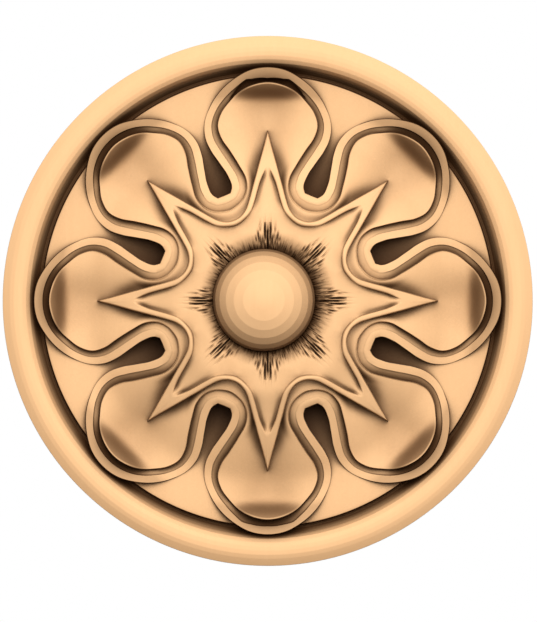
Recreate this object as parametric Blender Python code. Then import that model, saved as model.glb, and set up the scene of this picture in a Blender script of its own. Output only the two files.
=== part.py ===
"""A carved wooden sunburst rosette, 150 mm across, fixed by its flat back.

A round moulding rings a sunk floor. On the floor lies a flower of eight petals, each edged by a flat band
that loops from petal to petal round a drop-shaped notch. An eight-pointed star lies on the petals, and a
domed boss stands in the middle. It is all one piece of wood.

The carving is worked out in its own frame: x to the right, y up the wall, z out of the wall, in
millimetres, with z = 0 on the sunk floor. The pieces are then turned so that z points along -Y.
"""
import math

import bmesh
import bpy

MM = 0.001
TAU = 2.0 * math.pi

# Overall sizes
OUTER_RADIUS = 75.0
BACK_DEPTH = 5.0
PETALS = 8
HALF_PETAL = math.pi / PETALS
RIM_SIDES = 72

# The rim, from its outer side over the crest and down into the moat beside the floor: radius, height
RIM_PROFILE = (
    (75.0, 1.2),
    (73.0, 2.45),
    (71.9, 2.95),
    (70.7, 3.15),
    (69.5, 3.15),
    (68.4, 2.85),
    (67.3, 2.15),
    (65.6, -1.0),
    (64.7, -1.2),
    (63.8, 0.0),
)

# Lines of half a petal, from its middle to the notch beside it: across, along
BAND_EDGE = (
    (0.0, 66.1), (5.0, 65.3), (9.3, 63.0), (13.4, 59.4), (16.4, 54.8), (17.9, 50.0), (17.6, 46.0),
    (15.9, 42.3), (13.4, 38.7), (11.1, 35.2), (10.1, 32.1), (10.7, 30.5), (11.5, 29.9), (12.2, 29.46),
)
PETAL_EDGE = (
    (0.0, 62.0), (4.2, 61.2), (7.9, 59.3), (10.9, 56.3), (13.2, 53.0), (14.1, 49.5), (13.2, 46.3),
    (10.7, 42.6), (8.0, 38.3), (6.1, 34.6), (6.0, 31.0), (7.5, 28.0), (9.0, 26.6), (10.6, 25.6),
)
STAR_EDGE = (
    (0.0, 47.6), (0.25, 46.7), (0.55, 45.6), (1.05, 43.8), (1.4, 42.5), (2.15, 39.8), (3.05, 36.5),
    (3.75, 33.8), (4.5, 31.1), (5.2, 28.5), (5.95, 26.2), (7.2, 24.3), (8.5, 23.1), (9.4, 22.7),
)
BEAD_LINE = (
    (0.0, 38.9), (0.15, 38.7), (0.3, 38.4), (0.5, 38.0), (0.7, 37.5), (1.0, 36.7), (1.5, 35.5),
    (2.2, 33.7), (2.95, 31.1), (3.7, 28.4), (4.5, 26.0), (5.7, 24.1), (7.1, 22.8), (8.93, 21.55),
)
# How far across the band's width its inner edge lies, counted from the petal's edge
INNER_SHARE = (0.42, 0.42, 0.43, 0.44, 0.45, 0.46, 0.53, 0.51, 0.49, 0.48, 0.49, 0.52, 0.54, 0.55)

# The petals fall from the star to a low dish, and curl up again at their heads
SHOULDER_RADIUS = 51.2
SHOULDER_SOFTNESS = 1.4
PETAL_LOW = -0.8
PETAL_FALL = 0.56
DISH_RISE = 1.7
DISH_WIDTH = 6.8
DISH_FADE = (24.0, 38.0)
CURL_START = 56.7
CURL_RISE = 0.98
CURL_SOFTNESS = 0.5
PETAL_SHARES = (0.15, 0.4, 0.62, 0.82)

# The band follows the petals lower down
BAND_LOW = 0.2
BAND_FALL = 0.53
BAND_HEAD_START = 56.3
BAND_HEAD_RISE = 0.29
CHANNEL_STEP = 0.4
CHANNEL_HEAD_DEPTH = 0.8
CHANNEL_CLIMB = 0.2
WALL_LEAN = 0.3
SKIRT_LEAN = 0.35
SKIRT_DEPTH = 2.0

# The star falls evenly to its tips, with a flat bead inside its edge
STAR_RADIUS = 24.9
STAR_LEVEL = 15.5
STAR_FALL = 0.6
BEAD_FALL = 0.25
BEAD_STEP = 0.45
BEAD_FOOT = 0.3
BEAD_FADE = (32.0, 37.0)

# Inside the bead the field is a plateau round the boss, grooved towards each tip
PLATEAU_LEVEL = 14.75
PLATEAU_RADIUS = 18.5
PLATEAU_DIP = 0.25
GROOVE_DEPTH = 2.3
GROOVE_REACH = (20.4, 39.0)
GROOVE_SKEW = 1.25
GROOVE_SOFT = (25.0, 32.0)
BEAD_SINK = 0.7
FIELD_SHARES = (0.45,)
FIELD_RADII = (20.4, 17.5, 12.5)

# The boss is a faceted dome, a little off the flower's centre
BOSS_RADIUS = 14.15
BOSS_HEIGHT = 10.5
BOSS_FOOT = 13.0
BOSS_ROOT = 8.0
BOSS_CENTRE = (-1.08, 0.25)
BOSS_FACET = math.radians(12.0)
BOSS_SIDES = 36

# One petal, at the top, has a deeper pit in the channel at its head
PIT_PETAL = 0
PIT_DEPTH = 1.2
PIT_SHARES = (1.0, 1.0, 0.8)

# Room in the floor for the dishes of the petals, which reach lower than it
DISH_POCKET_RADIUS = 8.0
DISH_POCKET_DISTANCE = 53.5
DISH_POCKET_DEPTH = 1.5
DISH_POCKET_SIDES = 12

WOOD_COLOUR = (0.80, 0.50, 0.24, 1.0)
WOOD_ROUGHNESS = 0.55


def soft_ramp(distance, softness):
    """Return a ramp that is 0 below zero and climbs one for one above it, with a soft bend between."""
    return softness * math.log1p(math.exp(distance / softness))


def fade_in(value, start, end):
    """Return 0 below start, 1 above end, and a smooth step between."""
    share = min(max((value - start) / (end - start), 0.0), 1.0)
    return share * share * (3.0 - 2.0 * share)


def between(point, other, share):
    """Return the point that lies the given share of the way from point to other."""
    return tuple(a + (b - a) * share for a, b in zip(point, other))


def towards(point, other, distance):
    """Return point, moved by a distance towards other."""
    return between(point, other, distance / math.dist(point, other))


def petal_height(across, along):
    """Return the height of a petal's upper side."""
    radius = math.hypot(across, along)
    fall = PETAL_FALL * soft_ramp(SHOULDER_RADIUS - radius, SHOULDER_SOFTNESS)
    dish = DISH_RISE * (1.0 - math.exp(-(across / DISH_WIDTH) ** 2)) * fade_in(radius, *DISH_FADE)
    curl = CURL_RISE * soft_ramp(along - CURL_START, CURL_SOFTNESS)
    return PETAL_LOW + fall + dish + curl


def band_height(across, along):
    """Return the height of the flat band round a petal."""
    radius = math.hypot(across, along)
    fall = BAND_FALL * soft_ramp(SHOULDER_RADIUS - radius, SHOULDER_SOFTNESS)
    rise = BAND_HEAD_RISE * soft_ramp(along - BAND_HEAD_START, SHOULDER_SOFTNESS)
    return BAND_LOW + fall + rise


def star_height(across, along):
    """Return the height of the star at its edge."""
    return STAR_LEVEL - STAR_FALL * (math.hypot(across, along) - STAR_RADIUS)


def bead_share(along):
    """Return how much of the bead's step is left: it fades out towards the star's tip."""
    return 1.0 - fade_in(along, *BEAD_FADE)


def field_height(across, along, bead_across):
    """Return the height of the star's field inside the bead.

    bead_across is how far across the bead's foot lies at this distance along the petal.
    """
    radius = math.hypot(across, along)
    edge = star_height(across, along) - BEAD_SINK * bead_share(along)
    level = min(edge, PLATEAU_LEVEL)
    start, end = GROOVE_REACH
    if not start < along < end:
        return level - PLATEAU_DIP * max(PLATEAU_RADIUS - radius, 0.0)
    reach = ((end - along) / (end - start)) ** GROOVE_SKEW
    depth = GROOVE_DEPTH * math.sin(math.pi * reach)
    bend = 2.0 - fade_in(along, *GROOVE_SOFT)
    return level - depth * max(1.0 - (across / bead_across) ** 2, 0.0) ** bend


def bead_across_at(along):
    """Return how far across the bead's foot lies, measured along the petal."""
    for (near_across, near_along), (far_across, far_along) in zip(BEAD_LINE[1:], BEAD_LINE):
        if near_along <= along <= far_along:
            share = (along - near_along) / (far_along - near_along)
            return near_across + (far_across - near_across) * share
    return BEAD_LINE[-1][0]


def channel_points(station, petal):
    """Return the points of one station from the band's outer edge in to the petal's edge."""
    outer = BAND_EDGE[station]
    edge = PETAL_EDGE[station]
    lip = between(edge, outer, INNER_SHARE[station])
    low = towards(lip, edge, WALL_LEAN)
    foot = towards(edge, outer, WALL_LEAN)
    head = fade_in(edge[1], PETAL_EDGE[4][1], PETAL_EDGE[0][1])
    bed = band_height(*lip) - CHANNEL_STEP - CHANNEL_HEAD_DEPTH * head
    climb = min(CHANNEL_CLIMB, 0.4 * max(petal_height(*edge) - bed, 0.0))
    if petal == PIT_PETAL and station < len(PIT_SHARES):
        bed -= PIT_DEPTH * PIT_SHARES[station]
    return [
        (*towards(outer, edge, -SKIRT_LEAN), -SKIRT_DEPTH),
        (*outer, band_height(*outer)),
        (*lip, band_height(*lip)),
        (*low, bed),
        (*foot, bed + climb),
        (*edge, petal_height(*edge)),
    ]


def petal_points(station):
    """Return the points of one station from the petal's edge in to the foot of the star."""
    edge = PETAL_EDGE[station]
    foot = towards(STAR_EDGE[station], edge, WALL_LEAN)
    spots = [between(edge, foot, share) for share in PETAL_SHARES]
    spots.append(foot)
    return [(*spot, petal_height(*spot)) for spot in spots]


def star_points(station):
    """Return the points of one station from the star's edge in to the ring under the boss."""
    edge = STAR_EDGE[station]
    bead = BEAD_LINE[station]
    step = BEAD_STEP * bead_share(bead[1])
    bead_top = star_height(*bead) - BEAD_FALL * math.dist(edge, bead) * bead_share(bead[1])
    foot = towards(bead, (0.0, 0.0), BEAD_FOOT)
    points = [(*edge, star_height(*edge)), (*bead, bead_top)]
    points.append((*foot, min(field_height(*foot, bead_across_at(foot[1])), bead_top - step)))
    angle = HALF_PETAL * station / (len(STAR_EDGE) - 1)
    rings = [(radius * math.sin(angle), radius * math.cos(angle)) for radius in FIELD_RADII]
    spots = [between(foot, rings[0], share) for share in FIELD_SHARES] + rings
    return points + [(*spot, field_height(*spot, bead_across_at(spot[1]))) for spot in spots]


def turn(point, angle, side):
    """Return a petal's point, mirrored where side is -1 and turned clockwise by the angle."""
    across, along, height = point
    across *= side
    right = across * math.cos(angle) + along * math.sin(angle)
    up = along * math.cos(angle) - across * math.sin(angle)
    return (right, up, height)


def flower_rings():
    """Return the flower's closed rings of points, from the skirt in the floor to the ring under the boss."""
    last = len(PETAL_EDGE) - 1
    stations = [(side, k) for side, ks in ((-1, range(last, 0, -1)), (1, range(last))) for k in ks]
    columns = []
    for petal in range(PETALS):
        angle = TAU * petal / PETALS
        for side, station in stations:
            points = channel_points(station, petal) + petal_points(station) + star_points(station)
            columns.append([turn(point, angle, side) for point in points])
    return [list(ring) for ring in zip(*columns)]


def circle(radius, height, sides, centre=(0.0, 0.0)):
    """Return a closed ring of points, clockwise as seen from the front."""
    angles = [TAU * side / sides for side in range(sides)]
    return [(centre[0] + radius * math.sin(a), centre[1] + radius * math.cos(a), height) for a in angles]


def boss_rings():
    """Return the rings of the boss, from its root in the flower to the last facet below the pole."""
    rings = [circle(BOSS_RADIUS, BOSS_ROOT, BOSS_SIDES, BOSS_CENTRE)]
    rings.append(circle(BOSS_RADIUS, BOSS_FOOT, BOSS_SIDES, BOSS_CENTRE))
    steps = round(math.radians(90.0) / BOSS_FACET - 0.5)
    for step in range(steps, 0, -1):
        polar = step * BOSS_FACET
        height = BOSS_FOOT + BOSS_HEIGHT * math.cos(polar)
        rings.append(circle(BOSS_RADIUS * math.sin(polar), height, BOSS_SIDES, BOSS_CENTRE))
    return rings


def add_solid(name, bodies, pole=None):
    """Add an object whose bodies are each a stack of closed rings, capped at both ends.

    The rings run clockwise as seen from the front, from the back to the front. A pole, where one is
    given, closes the last ring of the only body with a fan of triangles.
    """
    shape = bmesh.new()
    for rings in bodies:
        loops = [[shape.verts.new([MM * value for value in point]) for point in ring] for ring in rings]
        count = len(loops[0])
        for lower, upper in zip(loops, loops[1:]):
            for i in range(count):
                j = (i + 1) % count
                shape.faces.new((lower[j], lower[i], upper[i], upper[j]))
        shape.faces.new(loops[0])
        if pole is None:
            shape.faces.new(loops[-1][::-1])
        else:
            tip = shape.verts.new([MM * value for value in pole])
            for i in range(count):
                shape.faces.new((loops[-1][(i + 1) % count], loops[-1][i], tip))
    mesh = bpy.data.meshes.new(name)
    shape.to_mesh(mesh)
    shape.free()
    solid = bpy.data.objects.new(name, mesh)
    bpy.context.scene.collection.objects.link(solid)
    return solid


def add_tool(name, bodies, host, operation, pole=None):
    """Add a hidden solid and join it to the host, or cut it from the host, with a Boolean modifier."""
    tool = add_solid(name, bodies, pole)
    tool.parent = host
    tool.hide_render = True
    tool.display_type = 'WIRE'
    modifier = host.modifiers.new(name, 'BOOLEAN')
    modifier.operation = operation
    modifier.solver = 'EXACT'
    modifier.object = tool
    return tool


def wood_material():
    """Return the pale wood that the rosette is carved from."""
    material = bpy.data.materials.new("carved_wood")
    material.use_nodes = True
    shader = material.node_tree.nodes["Principled BSDF"]
    shader.inputs["Base Color"].default_value = WOOD_COLOUR
    shader.inputs["Roughness"].default_value = WOOD_ROUGHNESS
    shader.inputs["Metallic"].default_value = 0.0
    return material


def build():
    """Build the rosette: the turned ground with its rim, then the flower and the boss joined to it."""
    for old in list(bpy.data.objects):
        bpy.data.objects.remove(old)

    rim = [circle(radius, height, RIM_SIDES) for radius, height in RIM_PROFILE]
    ground = [circle(OUTER_RADIUS, -BACK_DEPTH, RIM_SIDES)] + rim
    rosette = add_solid("rosette", [ground])
    rosette.data.materials.append(wood_material())

    pockets = []
    for petal in range(PETALS):
        angle = TAU * petal / PETALS
        centre = turn((0.0, DISH_POCKET_DISTANCE, 0.0), angle, 1)
        pockets.append([
            circle(DISH_POCKET_RADIUS, height, DISH_POCKET_SIDES, centre)
            for height in (-DISH_POCKET_DEPTH, DISH_POCKET_DEPTH)
        ])
    add_tool("dish_pockets", pockets, rosette, 'DIFFERENCE')
    add_tool("flower", [flower_rings()], rosette, 'UNION')
    pole = (*BOSS_CENTRE, BOSS_FOOT + BOSS_HEIGHT)
    add_tool("boss", [boss_rings()], rosette, 'UNION', pole)

    rosette.data.shade_smooth()
    rosette.data.set_sharp_from_angle(angle=math.radians(30.0))
    rosette.rotation_euler = (math.radians(90.0), 0.0, 0.0)
    rosette.location = (0.0, -BACK_DEPTH * MM, 0.0)


build()
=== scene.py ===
"""The looks of a carved wooden sunburst rosette, 150 mm across.

The rosette is one piece of wood: a turned ground with a rim, a flower of eight petals edged by a looping
band, an eight-pointed star on the petals, and a domed boss. The carving is worked out in its own frame,
in millimetres: x to the right, y up the wall and z out of the wall, with z = 0 on the sunk floor.

Half a petal is worked out upright, so that x runs across it and y along it, and is then mirrored and
turned for all eight. A pair of sizes called a reach, a fade or a room is where a change starts and ends.
The finish and the studio are in metres in the wall's frame, where y runs into the wall and is 0 at the
back of the carving.
"""

import logging
import math
from dataclasses import dataclass, field
from enum import Enum
from typing import Any, Sequence

import bpy
import numpy as np
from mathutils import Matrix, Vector


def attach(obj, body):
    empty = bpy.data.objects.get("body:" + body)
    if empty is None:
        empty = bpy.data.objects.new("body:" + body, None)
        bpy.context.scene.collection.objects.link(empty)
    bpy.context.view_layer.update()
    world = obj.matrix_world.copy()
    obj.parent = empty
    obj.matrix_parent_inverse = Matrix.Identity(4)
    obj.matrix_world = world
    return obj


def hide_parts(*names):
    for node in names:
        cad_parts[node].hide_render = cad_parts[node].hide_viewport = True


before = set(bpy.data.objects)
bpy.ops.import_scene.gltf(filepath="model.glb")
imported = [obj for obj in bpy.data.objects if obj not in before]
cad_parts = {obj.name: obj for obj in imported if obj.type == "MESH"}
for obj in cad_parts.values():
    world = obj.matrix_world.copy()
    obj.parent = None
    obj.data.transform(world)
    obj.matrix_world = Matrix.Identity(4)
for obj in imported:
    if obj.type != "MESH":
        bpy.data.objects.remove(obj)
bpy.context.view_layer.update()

MM = 0.001
TAU = 2.0 * math.pi
PETALS = 8
HALF_PETAL = math.pi / PETALS
BACK_DEPTH = 5.0
CORNER_SHARE = 0.45  # the most of a side that one eased corner takes up
MIDDLE_SHARE = 0.45  # the most of the way to the petal's middle that a line is moved sideways

Array = np.ndarray
Point = tuple[float, float]
Triple = tuple[float, float, float]
Zone = tuple[float, float, float, float]
Needle = tuple[float, float, float, float]
Colour = tuple[float, float, float, float]
log = logging.getLogger("rosette")


def soft_ramp(distance: Array, softness: float) -> Array:
    """Return a ramp that is 0 below zero and climbs one for one above it, with a soft bend between."""
    return softness * np.logaddexp(0.0, distance / softness)


def fade_in(value: Array, start: float, end: float) -> Array:
    """Return 0 below start, 1 above end, and a smooth step between."""
    share = np.clip((value - start) / (end - start), 0.0, 1.0)
    return share * share * (3.0 - 2.0 * share)


def between(spots: Array, others: Array, share: Any) -> Array:
    """Return the spots that lie the given share of the way from spots to others."""
    return spots + (others - spots) * np.asarray(share)[..., None]


def towards(spots: Array, others: Array, distance: float) -> Array:
    """Return spots, each moved by a distance towards its other spot."""
    way = others - spots
    return spots + way * (distance / np.linalg.norm(way, axis=-1, keepdims=True))


def beside(line: Array, distance: float) -> Array:
    """Return a line of half a petal moved sideways, but along the petal where it nears the middle.

    Args:
        line: the spots of the line, from the petal's middle to the notch.
        distance: how far it moves, towards the flower's centre where positive.

    Returns:
        The moved spots.
    """
    way = np.gradient(line, axis=0)
    way /= np.linalg.norm(way, axis=1, keepdims=True)
    room = np.clip(MIDDLE_SHARE * line[:, :1] / abs(distance), 0.0, 1.0)
    aside = np.stack([way[:, 1], -way[:, 0]], axis=-1) * room
    down = np.array([0.0, -1.0]) * (1.0 - room)
    return line + (aside + down) * distance


def gap_to(spots: Array, line: Array) -> Array:
    """Return how far each spot lies from the nearest point of a line."""
    way = spots[..., None, :] - line
    return np.sqrt((way * way).sum(axis=-1)).min(axis=-1)


def radius_of(spots: Array) -> Array:
    """Return how far the spots lie from the flower's centre."""
    return np.hypot(spots[..., 0], spots[..., 1])


def lifted(spots: Array, height: Any) -> Array:
    """Return the spots as points, at the given height over the floor."""
    heights = np.broadcast_to(np.asarray(height, float), spots.shape[:-1])
    return np.concatenate([spots, heights[..., None]], axis=-1)


def circle(radius: float, height: float, sides: int, centre: Point = (0.0, 0.0)) -> Array:
    """Return a closed ring of points, clockwise as seen from the front.

    Args:
        radius: the ring's radius.
        height: its height over the floor.
        sides: how many points it has.
        centre: its middle.

    Returns:
        The points, with the topmost first.
    """
    angle = TAU * np.arange(sides) / sides
    spots = np.stack([centre[0] + radius * np.sin(angle), centre[1] + radius * np.cos(angle)], axis=-1)
    return lifted(spots, height)


def eased(profile: Sequence[Point], ease: float) -> list[Point]:
    """Return a profile whose inner corners are each cut by a short flat.

    Args:
        profile: the corners, as radius and height.
        ease: how far from the corner each flat starts.

    Returns:
        The profile with two points for each inner corner.
    """
    made = [profile[0]]
    for before, corner, after in zip(profile, profile[1:], profile[2:]):
        for other in (before, after):
            share = min(ease / math.dist(corner, other), CORNER_SHARE)
            made.append(tuple(a + (b - a) * share for a, b in zip(corner, other)))
    return made + [profile[-1]]


class Joint(Enum):
    """How one solid is worked into another."""

    JOIN = "UNION"
    CUT = "DIFFERENCE"


def solid(name: str, rings: Array, pole: float | None = None) -> bpy.types.Object:
    """Make an object of a stack of closed rings, capped at both ends.

    Args:
        name: the object's name.
        rings: the rings from the back to the front, as an array of rings by points by coordinates.
        pole: where given, the height of the point that closes the last ring, over that ring's middle.

    Returns:
        The object, standing in the wall's frame with its back at y = 0.
    """
    count, sides = rings.shape[:2]
    points = rings.reshape(-1, 3)
    index = np.arange(count * sides).reshape(count, sides)
    following = np.roll(index, -1, axis=1)
    walls = np.stack([following[:-1], index[:-1], index[1:], following[1:]], axis=-1)
    faces = walls.reshape(-1, 4).tolist() + [index[0].tolist()]
    if pole is None:
        faces.append(index[-1][::-1].tolist())
    else:
        tip = rings[-1].mean(axis=0)
        tip[2] = pole
        points = np.vstack([points, tip])
        faces += [[int(b), int(a), count * sides] for a, b in zip(index[-1], following[-1])]
    placed = np.stack([points[:, 0], -points[:, 2] - BACK_DEPTH, points[:, 1]], axis=-1) * MM
    mesh = bpy.data.meshes.new(name)
    mesh.from_pydata(placed.tolist(), [], faces)
    made = bpy.data.objects.new(name, mesh)
    bpy.context.scene.collection.objects.link(made)
    return made


def work_in(host: bpy.types.Object, tool: bpy.types.Object, joint: Joint) -> None:
    """Join a solid to the host, or cut it from the host, and take the solid away.

    Args:
        host: the piece that is changed.
        tool: the solid that is joined or cut.
        joint: whether it is joined or cut.
    """
    boolean = host.modifiers.new(tool.name, "BOOLEAN")
    boolean.operation = joint.value
    boolean.solver = "EXACT"
    boolean.object = tool
    graph = bpy.context.evaluated_depsgraph_get()
    worked = bpy.data.meshes.new_from_object(host.evaluated_get(graph))
    host.modifiers.clear()
    old, host.data = host.data, worked
    bpy.data.meshes.remove(old)
    bpy.data.meshes.remove(tool.data)


@dataclass(frozen=True)
class CarvedLine:
    """A line of half a petal, through points across and along it, from its middle to the notch beside it."""

    points: tuple[Point, ...]
    corners: tuple[int, ...] = ()

    def smooth(self, steps: Sequence[int]) -> Array:
        """Return the line as a smooth curve through its points.

        Args:
            steps: how many short lengths each span between two points is divided into.

        Returns:
            The points of the curve, both ends included.
        """
        line = np.array(self.points)
        notch = np.array([math.sin(HALF_PETAL), math.cos(HALF_PETAL)])
        before = line[1] * [-1.0, 1.0]
        after = 2.0 * notch * (line[-2] @ notch) - line[-2]
        chords = np.diff(np.vstack([before, line, after]), axis=0)
        length = np.linalg.norm(chords, axis=1, keepdims=True)
        ways = chords / length
        turns = ways[:-1] * length[1:] + ways[1:] * length[:-1]
        turns /= np.linalg.norm(turns, axis=1, keepdims=True)
        made = []
        for span, count in enumerate(steps):
            chord = chords[span + 1]
            leave = chord if span in self.corners else turns[span] * length[span + 1]
            arrive = chord if span + 1 in self.corners else turns[span + 1] * length[span + 1]
            t = (np.arange(count) / count)[:, None]
            end_share = t * t * (3.0 - 2.0 * t)
            bend = leave * t * (1.0 - t) ** 2 - arrive * t * t * (1.0 - t)
            made.append(line[span] + chord * end_share + bend)
        return np.vstack([*made, line[-1:]])


BAND_EDGE = CarvedLine(
    points=(
        (0.0, 66.1), (5.0, 65.3), (9.3, 63.0), (13.4, 59.4), (16.4, 54.8), (17.9, 50.0), (17.6, 46.0),
        (15.9, 42.3), (13.4, 38.7), (11.1, 35.2), (10.1, 32.1), (10.5, 30.45), (11.39, 30.05), (12.28, 29.66),
    ),
    corners=(11,),
)
PETAL_EDGE = CarvedLine(
    points=(
        (0.0, 61.9), (4.2, 61.15), (7.9, 59.3), (10.9, 56.3), (13.2, 53.0), (14.1, 49.5), (13.2, 46.3),
        (10.7, 42.6), (8.0, 38.3), (6.1, 34.6), (6.0, 31.0), (7.5, 28.0), (9.0, 26.6), (10.6, 25.6),
    ),
)
STAR_EDGE = CarvedLine(
    points=(
        (0.0, 48.0), (0.22, 47.2), (0.43, 46.3), (0.67, 45.3), (0.97, 44.1), (1.4, 42.5), (1.98, 40.4),
        (2.7, 37.8), (3.46, 34.9), (4.19, 32.2), (5.14, 28.7), (6.27, 25.6), (7.85, 23.6), (9.4, 22.7),
    ),
    corners=(0,),
)
BEAD_LINE = CarvedLine(
    points=(
        (0.0, 38.9), (0.12, 38.75), (0.23, 38.55), (0.38, 38.25), (0.54, 37.9), (0.74, 37.4), (1.04, 36.6),
        (1.54, 35.4), (2.23, 33.6), (2.87, 31.4), (3.7, 28.4), (4.7, 25.6), (6.5, 23.3), (8.93, 21.55),
    ),
    corners=(0,),
)


@dataclass(frozen=True)
class PetalRelief:
    """The upper side of a petal: it falls from the star to a low dish and curls up again at its head."""

    shoulder_radius: float = 51.2
    softness: float = 1.4
    low: float = -1.25
    fall: float = 0.56
    dish_rise: float = 2.3
    dish_width: float = 6.8
    dish_fade: Point = (24.0, 38.0)
    curl_start: float = 56.9
    curl_bow: float = 0.012
    curl_slope: float = 1.5
    curl_softness: float = 0.85
    curl_ease: float = 0.5
    curl_ease_start: float = 60.2
    curl_width: float = 10.5
    curl_squareness: int = 4
    curl_sides: float = 0.35
    rim_width: float = 0.33
    foot_dip: float = 1.65
    foot_width: float = 2.4
    foot_power: float = 2.0
    foot_fade: Point = (47.0, 37.5)
    foot_inner: Point = (27.5, 36.0)
    foot_share: float = 0.3
    foot_room: Point = (0.4, 2.6)

    def height(self, spots: Array) -> Array:
        """Return the height of the petal before it is cut lower beside the star.

        Args:
            spots: where the height is wanted.

        Returns:
            The height over the floor at each spot.
        """
        across, along, radius = spots[..., 0], spots[..., 1], radius_of(spots)
        fall = self.fall * soft_ramp(self.shoulder_radius - radius, self.softness)
        sides = 1.0 - np.exp(-((across / self.dish_width) ** 2))
        dish = self.dish_rise * sides * fade_in(radius, *self.dish_fade)
        middle = np.exp(-((np.abs(across) / self.curl_width) ** self.curl_squareness))
        start = self.curl_start + self.curl_bow * across * across
        rise = soft_ramp(along - start, self.curl_softness)
        rise = rise - self.curl_ease * soft_ramp(along - self.curl_ease_start, self.curl_softness)
        curl = self.curl_slope * rise
        return self.low + fall + dish + curl * (self.curl_sides + (1.0 - self.curl_sides) * middle)

    def dip(self, spots: Array, star_edge: Array, edge: Array) -> Array:
        """Return how much lower the petal is cut beside the star.

        Args:
            spots: where the depth is wanted.
            star_edge: the line of the star's edge, where the dip is deepest.
            edge: the line of the petal's edge, near which there is no dip.

        Returns:
            The depth at each spot.
        """
        start, end = self.foot_fade
        radius = radius_of(spots)
        inner = self.foot_share + (1.0 - self.foot_share) * fade_in(radius, *self.foot_inner)
        share = fade_in(-radius, -start, -end) * inner
        share *= fade_in(gap_to(spots, edge), *self.foot_room)
        aside = gap_to(spots, star_edge) / self.foot_width
        return self.foot_dip * share * np.exp(-(aside ** self.foot_power))


@dataclass(frozen=True)
class BandRelief:
    """The flat band round the petals, and the channel cut between it and the petal's edge."""

    shoulder_radius: float = 51.2
    softness: float = 1.4
    low: float = 0.2
    fall: float = 0.53
    head_start: float = 55.5
    head_rise: float = 0.27
    step: float = 0.22
    notch_depth: float = 0.26
    notch_power: float = 2.2
    depth: float = 0.9
    depth_reach: Point = (27.0, 37.0)
    head_depth: float = 0.9
    head_reach: Point = (55.0, 61.5)
    hollow_power: float = 0.85
    pit_depth: float = 1.2

    def height(self, spots: Array) -> Array:
        """Return the height of the band.

        Args:
            spots: where the height is wanted.

        Returns:
            The height over the floor at each spot.
        """
        fall = self.fall * soft_ramp(self.shoulder_radius - radius_of(spots), self.softness)
        rise = self.head_rise * soft_ramp(spots[..., 1] - self.head_start, self.softness)
        return self.low + fall + rise

    def bed(self, lip: Array, edge: Array, share: Any) -> Array:
        """Return the height of the channel's bed, which hollows down towards the petal's wall.

        Args:
            lip: the spots on the band's inner edge.
            edge: the spots on the petal's edge beside them.
            share: how far across the channel, from 0 at the band to 1 at the petal.

        Returns:
            The bed's height at each station.
        """
        along = edge[..., 1]
        reach = fade_in(along, *self.depth_reach)
        deep = self.notch_depth + (self.depth - self.notch_depth) * reach
        power = self.notch_power + (self.hollow_power - self.notch_power) * reach
        deep = deep + self.head_depth * fade_in(along, *self.head_reach)
        step = self.step * deep / self.depth
        return self.height(lip) - step - (deep - step) * np.asarray(share) ** power


@dataclass(frozen=True)
class StarRelief:
    """The star's edge and bead, and the field inside them: a plateau that hollows out along each arm."""

    radius: float = 24.9
    level: float = 15.5
    fall: float = 0.56
    softness: float = 0.6
    bead_fall: float = 0.08
    bead_step: float = 0.5
    bead_sink: float = 0.45
    bead_fade: Point = (34.6, 38.0)
    bead_groove: float = 0.9
    bead_groove_width: float = 0.8
    valley_groove: float = 0.1
    valley_reach: Point = (24.5, 29.0)
    plateau_level: float = 14.75
    plateau_radius: float = 19.3
    plateau_dip: float = 0.1
    arm_hollow: float = 0.9
    arm_reach: Point = (19.0, 38.4)
    arm_skew: float = 1.1
    arm_power: float = 7.0
    least_width: float = 0.05

    def edge_height(self, spots: Array) -> Array:
        """Return the height of the star at its edge."""
        return self.level - self.fall * soft_ramp(radius_of(spots) - self.radius, self.softness)

    def bead_share(self, spots: Array) -> Array:
        """Return how much of the bead is left: it fades out towards the star's tip."""
        return 1.0 - fade_in(spots[..., 1], *self.bead_fade)

    def bead_height(self, edge: Array, spots: Array) -> Array:
        """Return the height of the bead, which falls a little inwards from the star's edge."""
        width = np.linalg.norm(edge - spots, axis=-1)
        return self.edge_height(spots) - self.bead_fall * width * self.bead_share(spots)

    def field_height(self, spots: Array, bead: Array) -> Array:
        """Return the height of the field inside the bead.

        Args:
            spots: where the height is wanted.
            bead: the smooth line of the bead's foot.

        Returns:
            The height at each spot.
        """
        across, along, radius = spots[..., 0], spots[..., 1], radius_of(spots)
        edge = self.edge_height(spots) - self.bead_sink * self.bead_share(spots)
        level = self.plateau_level - soft_ramp(self.plateau_level - edge, self.softness)
        level = level - self.plateau_dip * np.maximum(self.plateau_radius - radius, 0.0) ** 2
        start, end = self.arm_reach
        left = np.clip((end - along) / (end - start), 0.0, 1.0)
        depth = self.arm_hollow * np.sin(math.pi * left ** self.arm_skew)
        width = np.interp(along, bead[::-1, 1], bead[::-1, 0])
        share = np.clip(across / np.maximum(width, self.least_width), 0.0, 1.0)
        hollow = depth * (1.0 - share ** self.arm_power)
        arm = fade_in(along, *self.valley_reach)
        groove = self.valley_groove + (self.bead_groove - self.valley_groove) * arm
        groove = groove * np.exp(-((gap_to(spots, bead) / self.bead_groove_width) ** 2))
        return level - hollow - groove * self.bead_share(spots)


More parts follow.
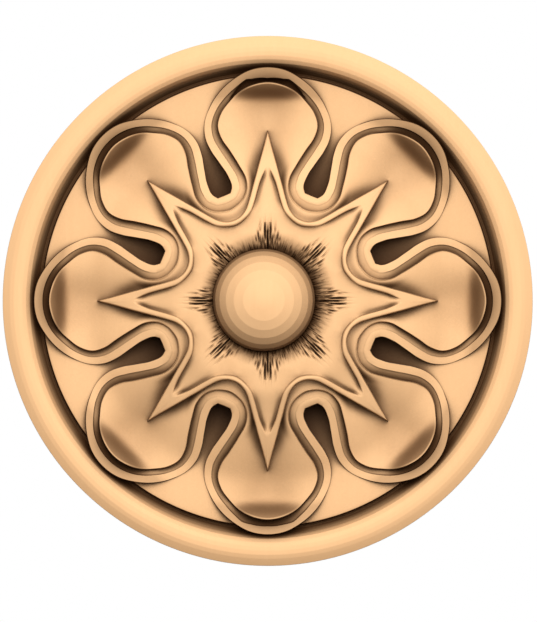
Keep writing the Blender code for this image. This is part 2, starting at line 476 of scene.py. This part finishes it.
@dataclass(frozen=True)
class NeedleCuts:
    """The fine cuts that radiate from under the boss, longest on the middle line of each petal.

    The needles are given as degrees from the petal's middle, inner and outer end, and depth. The fringe
    between them is drawn by lot, cell by cell. A cell is so many degrees by so many millimetres.
    """

    needles: tuple[Needle, ...] = (
        (0.0, 13.0, 21.0, 1.5), (2.3, 16.6, 22.6, 1.2), (-2.3, 16.6, 22.6, 1.2),
        (6.0, 18.9, 22.4, 0.5), (-6.0, 19.2, 22.6, 0.6), (4.2, 15.0, 19.3, 0.7), (-4.4, 15.0, 19.0, 0.7),
        (8.6, 16.2, 20.3, 0.7), (-8.2, 16.0, 20.6, 0.7), (11.0, 16.6, 19.0, 0.8), (-10.6, 16.4, 19.2, 0.8),
    )
    needle_width: float = 1.0
    needle_edge: float = 1.3
    taper: float = 1.8
    seed: int = 11
    cell: Point = (0.8, 1.6)
    cell_rows: int = 24
    cell_start: float = 10.0
    lot_gain: float = 2.2
    lot_floor: float = 0.75
    fringe_depth: float = 0.5
    fringe_reach: float = 19.0
    tuft_reach: float = 3.0
    tuft_width: float = 8.0
    fringe_fade: float = 4.0

    def _lots(self, angle: Array, radius: Array) -> Array:
        """Return smooth noise, drawn cell by cell.

        Args:
            angle: the way round from the top, in degrees.
            radius: the distance from the flower's centre.

        Returns:
            A number from 0 to 1 for each spot.
        """
        around = round(360.0 / self.cell[0])
        table = np.random.default_rng(self.seed).random((around, self.cell_rows))
        x = angle / self.cell[0]
        y = np.maximum(radius - self.cell_start, 0.0) / self.cell[1]
        column = np.floor(x).astype(int)
        row = np.minimum(np.floor(y).astype(int), self.cell_rows - 2)
        right, up = fade_in(x - column, 0.0, 1.0), np.clip(y - row, 0.0, 1.0)
        near, far = column % around, (column + 1) % around
        low = table[near, row] * (1.0 - right) + table[far, row] * right
        high = table[near, row + 1] * (1.0 - right) + table[far, row + 1] * right
        return low * (1.0 - up) + high * up

    def depth_at(self, spots: Array) -> Array:
        """Return how deep the cuts are.

        Args:
            spots: where the depth is wanted, anywhere in the flower.

        Returns:
            The depth at each spot.
        """
        pitch = 360.0 / PETALS
        angle = np.degrees(np.arctan2(spots[..., 0], spots[..., 1])) % 360.0
        radius = radius_of(spots)
        aside = (angle + pitch / 2.0) % pitch - pitch / 2.0
        reach = self.fringe_reach + self.tuft_reach * np.exp(-((aside / self.tuft_width) ** 2))
        share = np.clip((reach - radius) / self.fringe_fade, 0.0, 1.0)
        lots = np.clip(self._lots(angle, radius) * self.lot_gain - self.lot_floor, 0.0, 1.0)
        depth = self.fringe_depth * share * lots
        for middle, inner, outer, deep in self.needles:
            ends = np.minimum(radius - inner, outer - radius) / self.taper
            across = np.abs(aside - middle) / self.needle_width
            wall = np.clip(self.needle_edge - self.needle_edge * across, 0.0, 1.0)
            depth = np.maximum(depth, deep * np.clip(ends, 0.0, 1.0) * wall)
        return depth


class Head(Enum):
    """How the channel is cut round the head of a petal."""

    ROUND = "round"
    CORNERED = "cornered"
    PITTED = "pitted"


@dataclass
class Flower:
    """The eight petals with their band, the star on them and the field round the boss.

    The lines of half a petal have the same number of spots, and a ring joins the spots of one kind. A
    station is a spot's place along its line, counted in spans between the line's points.
    """

    # For each span, how many short lengths it has. For each point, the inner circles' turn in degrees.
    steps: tuple[int, ...] = (6, 6, 6, 5, 5, 5, 5, 5, 6, 6, 6, 7, 7)
    turns: tuple[float, ...] = (0.0, 0.85, 1.7, 2.6, 3.5, 4.3, 5.1, 5.9, 6.8, 8.0, 10.0, 13.2, 17.6, 22.5)
    # By station, how far out from the petal's edge the band begins, as a share of the way to its outer
    # edge. The first is for the neck and the notch, the others are for the three kinds of head.
    lip_shares: tuple[Point, ...] = (
        (5.0, 0.46), (6.0, 0.49), (7.0, 0.50), (8.0, 0.49), (10.0, 0.49), (11.0, 0.52), (12.0, 0.54),
        (13.0, 0.55),
    )
    round_shares: tuple[Point, ...] = ((0.0, 0.42), (1.0, 0.44), (2.0, 0.46), (3.0, 0.44))
    cornered_shares: tuple[Point, ...] = ((0.0, 0.43), (1.0, 0.50), (1.62, 0.61), (2.2, 0.50), (3.0, 0.44))
    pitted_shares: tuple[Point, ...] = (
        (0.0, 0.27), (1.0, 0.40), (1.35, 0.52), (1.9, 0.43), (2.3, 0.40), (3.0, 0.42),
    )
    # The pit: the stations where it narrows away and the length of its end wall, then shares of the
    # channel's width: the shelf beyond its end, the top and foot of its wall, and the crowded rings.
    pit_edge: Point = (1.85, 2.75)
    pit_end: float = 0.2
    pit_shelf: float = 0.72
    pit_wall: Point = (0.09, 0.19)
    pit_crowding: float = 0.02
    # An eased arris: its width, and the shares of it that lie outside the line, inside it and below it.
    arris: float = 0.12
    arris_out: float = 0.2
    arris_in: float = 0.8
    arris_drop: float = 1.2
    # The star's wider arrises, as shares of their width aside and down, and the foot of the bead.
    star_arris: float = 0.45
    edge_easing: tuple[Point, ...] = ((0.0, 0.6), (0.35, 0.2), (1.0, 0.0))
    bead_easing: tuple[Point, ...] = ((1.0, 0.0), (0.35, 0.25), (0.0, 0.7))
    least_move: float = 0.001
    bead_foot: float = 0.25
    wall_lean: float = 0.3
    skirt_lean: float = 0.35
    skirt_depth: float = 4.2
    pocket_ring: int = 3
    pocket_reach: Point = (-3.6, 3.0)
    channel_shares: tuple[float, ...] = (0.04, 0.2, 0.4, 0.6)
    rim_shares: tuple[float, ...] = (0.27, 0.45, 0.75)
    petal_shares: tuple[float, ...] = (
        0.02, 0.05, 0.08, 0.11, 0.14, 0.18, 0.22, 0.27, 0.34, 0.43, 0.53, 0.63, 0.72, 0.8, 0.87, 0.92, 0.96,
    )
    groove_steps: tuple[float, ...] = (0.5, 0.8, 1.15, 1.6)
    field_shares: tuple[float, ...] = (0.08, 0.17, 0.28, 0.4, 0.52, 0.64, 0.76, 0.88)
    inner_radii: tuple[float, ...] = (
        20.4, 19.8, 19.2, 18.6, 18.0, 17.5, 17.0, 16.5, 16.0, 15.6, 15.2, 14.8, 14.4, 14.0, 13.5, 12.5,
    )
    needled_field_rings: int = 4
    heads: dict[int, Head] = field(default_factory=lambda: {0: Head.PITTED, 4: Head.CORNERED})
    petal: PetalRelief = field(default_factory=PetalRelief)
    band: BandRelief = field(default_factory=BandRelief)
    star: StarRelief = field(default_factory=StarRelief)
    needles: NeedleCuts = field(default_factory=NeedleCuts)

    def _band_rings(self, outer: Array, lip: Array, edge: Array) -> list[Array]:
        """Return the rings of the band, from the skirt in the floor to its inner edge.

        Args:
            outer: the spots on the band's outer edge.
            lip: the spots on its inner edge.
            edge: the spots on the petal's edge.

        Returns:
            The rings.
        """
        arris, height = self.arris, self.band.height
        middle = between(outer, lip, 0.5)
        return [
            lifted(towards(outer, edge, -self.skirt_lean), -self.skirt_depth),
            lifted(towards(outer, edge, -self.arris_out * arris), height(outer) - self.arris_drop * arris),
            lifted(towards(outer, edge, self.arris_in * arris), height(outer)),
            lifted(middle, height(middle)),
            lifted(towards(lip, outer, self.arris_in * arris), height(lip)),
        ]

    def _channel_rings(self, lip: Array, edge: Array, station: Array, pitted: bool) -> list[Array]:
        """Return the rings of the channel, from the band's inner edge to the foot of the petal's wall.

        Args:
            lip: the spots on the band's inner edge.
            edge: the spots on the petal's edge.
            station: the station of each spot.
            pitted: whether the channel has a pit at the head.

        Returns:
            The rings, which crowd towards the band where there is a pit.
        """
        foot = towards(edge, lip, self.wall_lean)
        start, end = self.pit_edge
        inside = np.clip((end - station) / (end - start), 0.0, 1.0) * float(pitted)
        drop = self.band.pit_depth * np.clip((end - station) / self.pit_end, 0.0, 1.0) * float(pitted)
        shelf = self.pit_shelf * (1.0 - inside)
        cuts = [
            (plain * (1.0 - inside) + inside * self.pit_crowding * (k + 1), 0.0)
            for k, plain in enumerate(self.channel_shares)
        ]
        cuts += [(shelf + self.pit_wall[0], 0.0), (shelf + self.pit_wall[1], drop)]
        rings = [
            lifted(between(lip, foot, share), self.band.bed(lip, edge, share) - deep)
            for share, deep in cuts
        ]
        return rings + [lifted(foot, self.band.bed(lip, edge, 1.0) - drop)]

    def _petal_rings(self, outer: Array, edge: Array, star_edge: Array) -> list[Array]:
        """Return the rings of the petal, from its edge over its level rim to the foot of the star.

        Args:
            outer: the spots on the band's outer edge.
            edge: the spots on the petal's edge.
            star_edge: the spots on the star's edge.

        Returns:
            The rings.
        """
        arris, height = self.arris, self.petal.height
        foot = towards(star_edge, edge, self.wall_lean)
        rim = towards(edge, star_edge, self.petal.rim_width)
        level = height(rim)
        rings = [lifted(towards(edge, outer, self.arris_out * arris), level - self.arris_drop * arris)]
        for share in self.rim_shares:
            rings.append(lifted(between(edge, rim, share), level))
        for share in (0.0, *self.petal_shares, 1.0):
            spots = between(rim, foot, share)
            rings.append(lifted(spots, height(spots) - self.petal.dip(spots, star_edge, edge)))
        return rings

    def _star_rings(self, star_edge: Array, bead: Array, angle: Array) -> list[Array]:
        """Return the rings of the star, from its edge in to the ring under the boss.

        Args:
            star_edge: the spots on the star's edge.
            bead: the spots on the inner side of its bead.
            angle: the turn of each spot of the inner circles from the petal's middle.

        Returns:
            The rings.
        """
        star, arris = self.star, self.star_arris
        rings = []
        for aside, drop in self.edge_easing:
            spots = beside(star_edge, max(aside * arris, self.least_move))
            rings.append(lifted(spots, star.edge_height(spots) - drop * arris))
        for aside, drop in self.bead_easing:
            spots = beside(bead, min(-aside * arris, -self.least_move))
            share = star.bead_share(spots)
            rings.append(lifted(spots, star.bead_height(star_edge, spots) - drop * arris * share))
        foot = beside(bead, self.bead_foot)
        foot_height = star.bead_height(star_edge, foot) - star.bead_step * star.bead_share(foot)
        rings.append(lifted(foot, np.minimum(star.field_height(foot, bead), foot_height)))
        circles = [
            np.stack([radius * np.sin(angle), radius * np.cos(angle)], axis=-1)
            for radius in self.inner_radii
        ]
        spots = [beside(bead, step) for step in self.groove_steps]
        spots += [between(spots[-1], circles[0], share) for share in self.field_shares] + circles
        return rings + [lifted(spot, star.field_height(spot, bead)) for spot in spots]

    def _half_petal(self, head: Head) -> Array:
        """Return the points of half a petal.

        Args:
            head: how the channel is cut round the petal's head.

        Returns:
            An array of stations by rings by coordinates.
        """
        shares = {
            Head.ROUND: self.round_shares,
            Head.CORNERED: self.cornered_shares,
            Head.PITTED: self.pitted_shares,
        }
        outer, edge, star_edge, bead = (
            line.smooth(self.steps) for line in (BAND_EDGE, PETAL_EDGE, STAR_EDGE, BEAD_LINE)
        )
        spans = [span + np.arange(count) / count for span, count in enumerate(self.steps)]
        station = np.concatenate([*spans, [len(self.steps)]])
        knots = np.array(shares[head] + self.lip_shares)
        lip = between(edge, outer, np.interp(station, knots[:, 0], knots[:, 1]))
        turn = np.interp(station, np.arange(len(self.turns)), self.turns)
        rings = [
            *self._band_rings(outer, lip, edge),
            *self._channel_rings(lip, edge, station, head is Head.PITTED),
            *self._petal_rings(outer, edge, star_edge),
            *self._star_rings(star_edge, bead, np.radians(turn)),
        ]
        return np.stack(rings, axis=1)

    def rings(self) -> Array:
        """Work out the flower's closed rings.

        Returns:
            The rings, from the skirt in the floor to the ring under the boss.
        """
        halves = {head: self._half_petal(head) for head in Head}
        columns = []
        for petal in range(PETALS):
            half = halves[self.heads.get(petal, Head.ROUND)]
            whole = np.concatenate([half[:0:-1] * [-1.0, 1.0, 1.0], half[:-1]])
            turn = TAU * petal / PETALS
            across, along = whole[..., 0].copy(), whole[..., 1].copy()
            whole[..., 0] = across * math.cos(turn) + along * math.sin(turn)
            whole[..., 1] = along * math.cos(turn) - across * math.sin(turn)
            columns.append(whole)
        rings = np.concatenate(columns).transpose(1, 0, 2)
        inner = rings[-len(self.inner_radii) - self.needled_field_rings:]
        inner[..., 2] -= self.needles.depth_at(inner[..., :2])
        return rings

    def build(self, rings: Array) -> bpy.types.Object:
        """Return the flower as a closed solid that reaches into the floor and under the boss."""
        return solid("flower", rings)

    def pocket(self, rings: Array) -> bpy.types.Object:
        """Return the solid that makes room in the ground for the parts cut lower than the floor."""
        outline = rings[self.pocket_ring, :, :2]
        return solid("flower_pocket", np.stack([lifted(outline, height) for height in self.pocket_reach]))


@dataclass
class Boss:
    """The faceted dome in the middle, a little off the flower's centre. A facet spans so many degrees."""

    radius: float = 14.5
    height: float = 10.5
    foot: float = 13.0
    root: float = 8.0
    centre: Point = (-1.08, 0.25)
    facet: float = 12.0
    sides: int = 144
    ease: float = 0.1

    def build(self) -> bpy.types.Object:
        """Make the boss.

        Returns:
            A closed solid that reaches down into the flower.
        """
        profile = [(self.radius, self.root), (self.radius, self.foot)]
        for step in range(int(90.0 // self.facet), 0, -1):
            polar = math.radians(step * self.facet)
            profile.append((self.radius * math.sin(polar), self.foot + self.height * math.cos(polar)))
        rings = [circle(r, z, self.sides, self.centre) for r, z in eased(profile, self.ease)]
        return solid("boss", np.stack(rings), pole=self.foot + self.height)


@dataclass
class Ground:
    """The turned ground: the back, the outer side, the rim, the moat inside it and the sunk floor."""

    radius: float = 75.0
    sides: int = 288
    ease: float = 0.12
    back_ease: float = 0.4
    profile: tuple[Point, ...] = (
        (75.0, 1.2), (73.0, 2.45), (71.9, 2.95), (70.7, 3.15), (69.5, 3.15), (68.4, 2.85), (67.3, 2.15),
        (66.4, 0.8), (65.6, -0.8), (64.9, -1.9), (64.2, -2.3), (63.8, 0.0), (63.0, 0.0),
    )

    def build(self) -> bpy.types.Object:
        """Make the ground.

        Returns:
            A closed solid.
        """
        back = [(self.radius - self.back_ease, -BACK_DEPTH), (self.radius, -BACK_DEPTH + self.back_ease)]
        corners = eased([*back, *self.profile], self.ease)
        rings = [circle(radius, height, self.sides) for radius, height in corners]
        return solid("carved_rosette", np.stack(rings))


class Value:
    """A number that a shader socket gives, to be used in Python sums."""

    def __init__(self, bench: "Bench", socket: bpy.types.NodeSocket) -> None:
        """Hold the socket and the bench that adds nodes to its material."""
        self.bench = bench
        self.socket = socket

    def _math(self, operation: str, *values: Any) -> "Value":
        """Return the result of a Math node on the values."""
        return self.bench.value("ShaderNodeMath", {"operation": operation}, dict(enumerate(values)))

    def __add__(self, other: Any) -> "Value":
        """Return the sum."""
        return self._math("ADD", self, other)

    def __radd__(self, other: Any) -> "Value":
        """Return the sum, with a number first."""
        return self._math("ADD", other, self)

    def __sub__(self, other: Any) -> "Value":
        """Return the difference."""
        return self._math("SUBTRACT", self, other)

    def __rsub__(self, other: Any) -> "Value":
        """Return the difference, with a number first."""
        return self._math("SUBTRACT", other, self)

    def __mul__(self, other: Any) -> "Value":
        """Return the product."""
        return self._math("MULTIPLY", self, other)

    def __rmul__(self, other: Any) -> "Value":
        """Return the product, with a number first."""
        return self._math("MULTIPLY", other, self)

    def __pow__(self, other: Any) -> "Value":
        """Return the power."""
        return self._math("POWER", self, other)


class Climb(Enum):
    """How a share climbs from 0 to 1."""

    EVEN = "LINEAR"
    SMOOTH = "SMOOTHSTEP"


class Bench:
    """A material's node tree, and the one way in which nodes are added to it."""

    def __init__(self, name: str) -> None:
        """Make a new material and keep its shader at hand.

        Args:
            name: the material's name.
        """
        self.material = bpy.data.materials.new(name)
        self.material.use_nodes = True
        self.tree = self.material.node_tree
        self.shader = self.tree.nodes["Principled BSDF"]

    def node(
        self, kind: str, settings: dict[str, Any] | None = None, inputs: dict[Any, Any] | None = None
    ) -> bpy.types.Node:
        """Add a node.

        Args:
            kind: the node's type.
            settings: its properties, which are set first.
            inputs: a value or a link for each socket, by name or number.

        Returns:
            The node.
        """
        made = self.tree.nodes.new(kind)
        for name, setting in (settings or {}).items():
            setattr(made, name, setting)
        for name, given in (inputs or {}).items():
            self.feed(made.inputs[name], given)
        return made

    def feed(self, socket: bpy.types.NodeSocket, given: Any) -> None:
        """Feed a socket.

        Args:
            socket: the socket that is fed.
            given: a value or a socket to link to it, or a number or a colour to set it to.
        """
        if isinstance(given, Value):
            given = given.socket
        if isinstance(given, bpy.types.NodeSocket):
            self.tree.links.new(given, socket)
        else:
            socket.default_value = given

    def value(
        self, kind: str, settings: dict[str, Any] | None = None, inputs: dict[Any, Any] | None = None,
        output: Any = 0,
    ) -> Value:
        """Add a node and return one of its outputs as a value."""
        return Value(self, self.node(kind, settings, inputs).outputs[output])

    def mix(self, share: Any, first: Any, second: Any) -> bpy.types.NodeSocket:
        """Return the colour that lies the given share of the way from first to second."""
        made = self.node("ShaderNodeMix", {"data_type": "RGBA"}, {0: share, 6: first, 7: second})
        return made.outputs[2]

    def fade(self, value: Any, start: float, end: float, climb: Climb = Climb.EVEN) -> Value:
        """Return a share that is 0 up to start and 1 from end on."""
        settings = {"interpolation_type": climb.value}
        return self.value("ShaderNodeMapRange", settings, {0: value, 1: start, 2: end})


@dataclass(frozen=True)
class CarvedWood:
    """Pale fine-grained wood, sanded and waxed, with painted shade in the recesses, where its colour goes
    dark brown.

    The higher a power, the darker the painted shade in its hollows or on its slopes. The hollows' power goes
    over into the star's at the star's depths. A zone is four radii: it is whole between the middle two.
    """

    pale: Colour = (0.87, 0.525, 0.265, 1.0)
    honey: Colour = (0.82, 0.475, 0.23, 1.0)
    # The dark brown that stands in for painted shade.
    shade_brown: Colour = (0.05, 0.019, 0.006, 1.0)
    honey_share: float = 0.45
    fibre_scale: Triple = (900.0, 900.0, 45.0)
    fibre_detail: Point = (3.0, 0.6)
    fibre_tone: float = 0.55
    fibre_strength: float = 0.12
    fibre_height: float = 0.0002
    cloud_scale: Triple = (60.0, 60.0, 9.0)
    cloud_detail: Point = (2.0, 0.5)
    cloud_tone: float = 0.8
    roughness: float = 0.6
    roughness_spread: float = 0.12
    specular: float = 0.07
    openness_samples: int = 8
    crease_reach: float = 0.003
    crease_power: float = 0.3
    hollow_reach: float = 0.02
    hollow_power: float = 2.4
    star_power: float = 1.95
    star_depths: Point = (-0.0075, -0.0115)
    carved_depths: Point = (-0.0008, -0.0016)
    # Painted shade on slopes turned away from the front, at the petals' heads and on the boss, and even
    # painted shade on the band's heads.
    slope_power: float = 2.4
    head_radii: Zone = (0.0552, 0.0578, 0.0640, 0.0675)
    boss_power: float = 0.72
    boss_centre: Triple = (-0.00108, 0.0, 0.00025)
    boss_radii: Zone = (-0.002, -0.001, 0.01450, 0.01490)
    band_shade: float = 0.3
    band_radii: Zone = (0.0560, 0.0600, 0.0662, 0.0668)
    band_depths: Point = (-0.0051, -0.0059)

    def material(self) -> bpy.types.Material:
        """Mix the wood.

        Returns:
            Its material.
        """
        bench = Bench("carved_wood")
        place = bench.node("ShaderNodeTexCoord").outputs["Object"]
        depth = bench.value("ShaderNodeSeparateXYZ", {}, {0: place}, output=1)
        fibre = self._noise(bench, place, self.fibre_scale, self.fibre_detail)
        cloud = self._noise(bench, place, self.cloud_scale, self.cloud_detail)
        grain = fibre * self.fibre_tone + cloud * self.cloud_tone + self.honey_share
        # Painted shade by ambient occlusion, in tight creases and in wide hollows, with its own power in the
        # star's depths.
        crease = self._openness(bench, self.crease_reach) ** self.crease_power
        start, end = self.star_depths
        power = bench.value(
            "ShaderNodeMapRange", {}, {0: depth, 1: start, 2: end, 3: self.hollow_power, 4: self.star_power}
        )
        hollow = self._openness(bench, self.hollow_reach) ** power
        wood = bench.mix(grain, self.pale, self.honey)
        # Painted shade: the wood goes towards the dark brown where the creases, the hollows and the slopes
        # are shaded.
        colour = bench.mix(1.0 - crease * hollow * self._slope_shade(bench, place, depth), wood, self.shade_brown)
        bump = bench.node(
            "ShaderNodeBump", {},
            {"Strength": self.fibre_strength, "Distance": self.fibre_height, "Height": fibre},
        )
        bench.feed(bench.shader.inputs["Base Color"], colour)
        bench.feed(bench.shader.inputs["Roughness"], fibre * self.roughness_spread + self.roughness)
        bench.feed(bench.shader.inputs["Normal"], bump.outputs[0])
        bench.shader.inputs["Specular IOR Level"].default_value = self.specular
        return bench.material

    def _slope_shade(self, bench: Bench, place: bpy.types.NodeSocket, depth: Value) -> Value:
        """Return how free of painted shade the raised parts are.

        Painted shade darkens the slopes at the petals' heads and the boss's steep facets, the more the
        further they turn from the front, and lies evenly over the heads of the band.

        Args:
            bench: the bench of the wood's material.
            place: the place on the piece.
            depth: that place's y, below 0 on the carving.

        Returns:
            A share, 1 where no shade is painted.
        """
        normal = bench.node("ShaderNodeTexCoord").outputs["Normal"]
        inwards = bench.value("ShaderNodeSeparateXYZ", {}, {0: normal}, output=1)
        front = bench.value("ShaderNodeClamp", {}, {0: inwards * -1.0})
        flat = bench.node("ShaderNodeVectorMath", {"operation": "MULTIPLY"}, {0: place, 1: (1.0, 0.0, 1.0)})
        radius, boss_radius = (
            bench.value(
                "ShaderNodeVectorMath", {"operation": "DISTANCE"}, {0: flat.outputs[0], 1: centre},
                output="Value",
            )
            for centre in ((0.0, 0.0, 0.0), self.boss_centre)
        )
        carved = bench.fade(depth, *self.carved_depths)
        heads = self._zone(bench, radius, self.head_radii) * carved
        boss = self._zone(bench, boss_radius, self.boss_radii) * carved
        band = self._zone(bench, radius, self.band_radii) * bench.fade(depth, *self.band_depths)
        petals_unshaded = 1.0 - (1.0 - front ** self.slope_power) * heads
        boss_unshaded = 1.0 - (1.0 - front ** self.boss_power) * boss
        return petals_unshaded * (1.0 - band * self.band_shade) * boss_unshaded

    @staticmethod
    def _noise(bench: Bench, place: bpy.types.NodeSocket, scale: Triple, detail: Point) -> Value:
        """Return noise around 0.

        Args:
            bench: the bench of the wood's material.
            place: the place on the piece.
            scale: how fine the noise is each way.
            detail: its detail and its roughness.

        Returns:
            The noise, mostly between -0.5 and 0.5.
        """
        scaled = bench.node("ShaderNodeMapping", {}, {"Vector": place, "Scale": scale}).outputs[0]
        inputs = {"Vector": scaled, "Scale": 1.0, "Detail": detail[0], "Roughness": detail[1]}
        return bench.value("ShaderNodeTexNoise", {}, inputs) - 0.5

    @staticmethod
    def _zone(bench: Bench, radius: Value, radii: Zone) -> Value:
        """Return 1 between the middle two of four radii, fading to 0 at the first and the last."""
        inner, outer = (bench.fade(radius, *ends, Climb.SMOOTH) for ends in (radii[:2], radii[2:]))
        return inner * (1.0 - outer)

    def _openness(self, bench: Bench, reach: float) -> Value:
        """Return how open the surface lies, from 0 in a tight crease to 1 on an open flat."""
        settings = {"samples": self.openness_samples, "only_local": True}
        return bench.value("ShaderNodeAmbientOcclusion", settings, {"Distance": reach}, output="AO")


@dataclass
class Rosette:
    """The whole carving, one piece of wood."""

    ground: Ground = field(default_factory=Ground)
    flower: Flower = field(default_factory=Flower)
    boss: Boss = field(default_factory=Boss)
    finish: CarvedWood = field(default_factory=CarvedWood)
    crease_angle: float = 50.0

    def build(self) -> bpy.types.Object:
        """Join the parts of the carving.

        Returns:
            One closed piece.
        """
        piece = self.ground.build()
        rings = self.flower.rings()
        work_in(piece, self.flower.pocket(rings), Joint.CUT)
        work_in(piece, self.flower.build(rings), Joint.JOIN)
        work_in(piece, self.boss.build(), Joint.JOIN)
        return piece

    def dress(self, piece: bpy.types.Object) -> None:
        """Smooth the piece, give it its wood and fix it in the frame.

        Args:
            piece: the carving.
        """
        piece.data.shade_smooth()
        piece.data.set_sharp_from_angle(angle=math.radians(self.crease_angle))
        normals = piece.modifiers.new("even_faces", "WEIGHTED_NORMAL")
        normals.keep_sharp = True
        piece.data.materials.clear()
        piece.data.materials.append(self.finish.material())
        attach(piece, "root")
        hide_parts("rosette")


@dataclass
class Studio:
    """The pale floor, the soft light and the camera, straight in front of the rosette.

    A pixel is so many millimetres wide on the rosette, and the shift is in pixels. A lamp has a tilt
    above the camera's line, a turn round to the right, both in degrees, and a strength.
    """

    pixel: float = 0.283019
    picture_height: int = 622
    centre_shift: Point = (0.8, -10.1)
    distance: float = 1.0
    floor_drop: float = 0.3
    floor_size: float = 6.0
    floor_colour: Colour = (0.85, 0.84, 0.82, 1.0)
    floor_roughness: float = 0.8
    key_light: Triple = (28.5, 6.0, 4.42)
    back_light: Triple = (35.0, 150.0, 1.2)
    light_softness: float = 60.0
    fill_strength: float = 0.08

    def build(self) -> None:
        """Make the floor, the lights, the world and the camera."""
        self._floor()
        self._sun("key_light", *self.key_light)
        self._sun("back_light", *self.back_light)
        self._world()
        self._camera()
        view = bpy.context.scene.view_settings
        view.view_transform = "Standard"
        view.look = "None"

    def _floor(self) -> None:
        """Lay the floor."""
        half = self.floor_size / 2.0
        corners = [(-half, -half), (half, -half), (half, half), (-half, half)]
        mesh = bpy.data.meshes.new("floor")
        mesh.from_pydata([(x, y, -self.floor_drop) for x, y in corners], [], [(0, 1, 2, 3)])
        floor = bpy.data.objects.new("floor", mesh)
        bpy.context.scene.collection.objects.link(floor)
        bench = Bench("floor_paint")
        bench.feed(bench.shader.inputs["Base Color"], self.floor_colour)
        bench.feed(bench.shader.inputs["Roughness"], self.floor_roughness)
        mesh.materials.append(bench.material)
        floor.visible_diffuse = False

    def _sun(self, name: str, tilt: float, turn: float, strength: float) -> None:
        """Hang a soft lamp that shines towards the wall.

        Args:
            name: the lamp's name.
            tilt: how far above the camera's line it stands, in degrees.
            turn: how far round to the right, in degrees.
            strength: how strong it is.
        """
        lamp = bpy.data.lights.new(name, "SUN")
        lamp.energy = strength
        lamp.angle = math.radians(self.light_softness)
        holder = bpy.data.objects.new(name, lamp)
        holder.rotation_euler = (math.radians(90.0 - tilt), 0.0, math.radians(turn))
        bpy.context.scene.collection.objects.link(holder)

    def _world(self) -> None:
        """Surround the scene with white, which lights the rosette more softly than it shows."""
        world = bpy.data.worlds.new("white_room")
        world.use_nodes = True
        nodes, links = world.node_tree.nodes, world.node_tree.links
        back = nodes["Background"]
        back.inputs["Color"].default_value = (1.0, 1.0, 1.0, 1.0)
        rays = nodes.new("ShaderNodeLightPath")
        level = nodes.new("ShaderNodeMix")
        level.inputs[2].default_value = self.fill_strength
        level.inputs[3].default_value = 1.0
        links.new(rays.outputs["Is Camera Ray"], level.inputs[0])
        links.new(level.outputs[0], back.inputs["Strength"])
        bpy.context.scene.world = world

    def _camera(self) -> None:
        """Set up the camera, straight on and without perspective."""
        lens = bpy.data.cameras.new("camera")
        lens.type = "ORTHO"
        lens.ortho_scale = self.picture_height * self.pixel * MM
        camera = bpy.data.objects.new("camera", lens)
        right, up = (shift * self.pixel * MM for shift in self.centre_shift)
        camera.location = Vector((right, -self.distance, up))
        camera.rotation_euler = (math.radians(90.0), 0.0, 0.0)
        bpy.context.scene.collection.objects.link(camera)
        bpy.context.scene.camera = camera


def main() -> None:
    """Build the rosette and the studio round it."""
    logging.basicConfig(level=logging.INFO, format="%(name)s: %(message)s")
    rosette = Rosette()
    piece = rosette.build()
    rosette.dress(piece)
    log.info("%s: %d faces, %d points", piece.name, len(piece.data.polygons), len(piece.data.vertices))
    Studio().build()


if __name__ == "__main__":
    main()
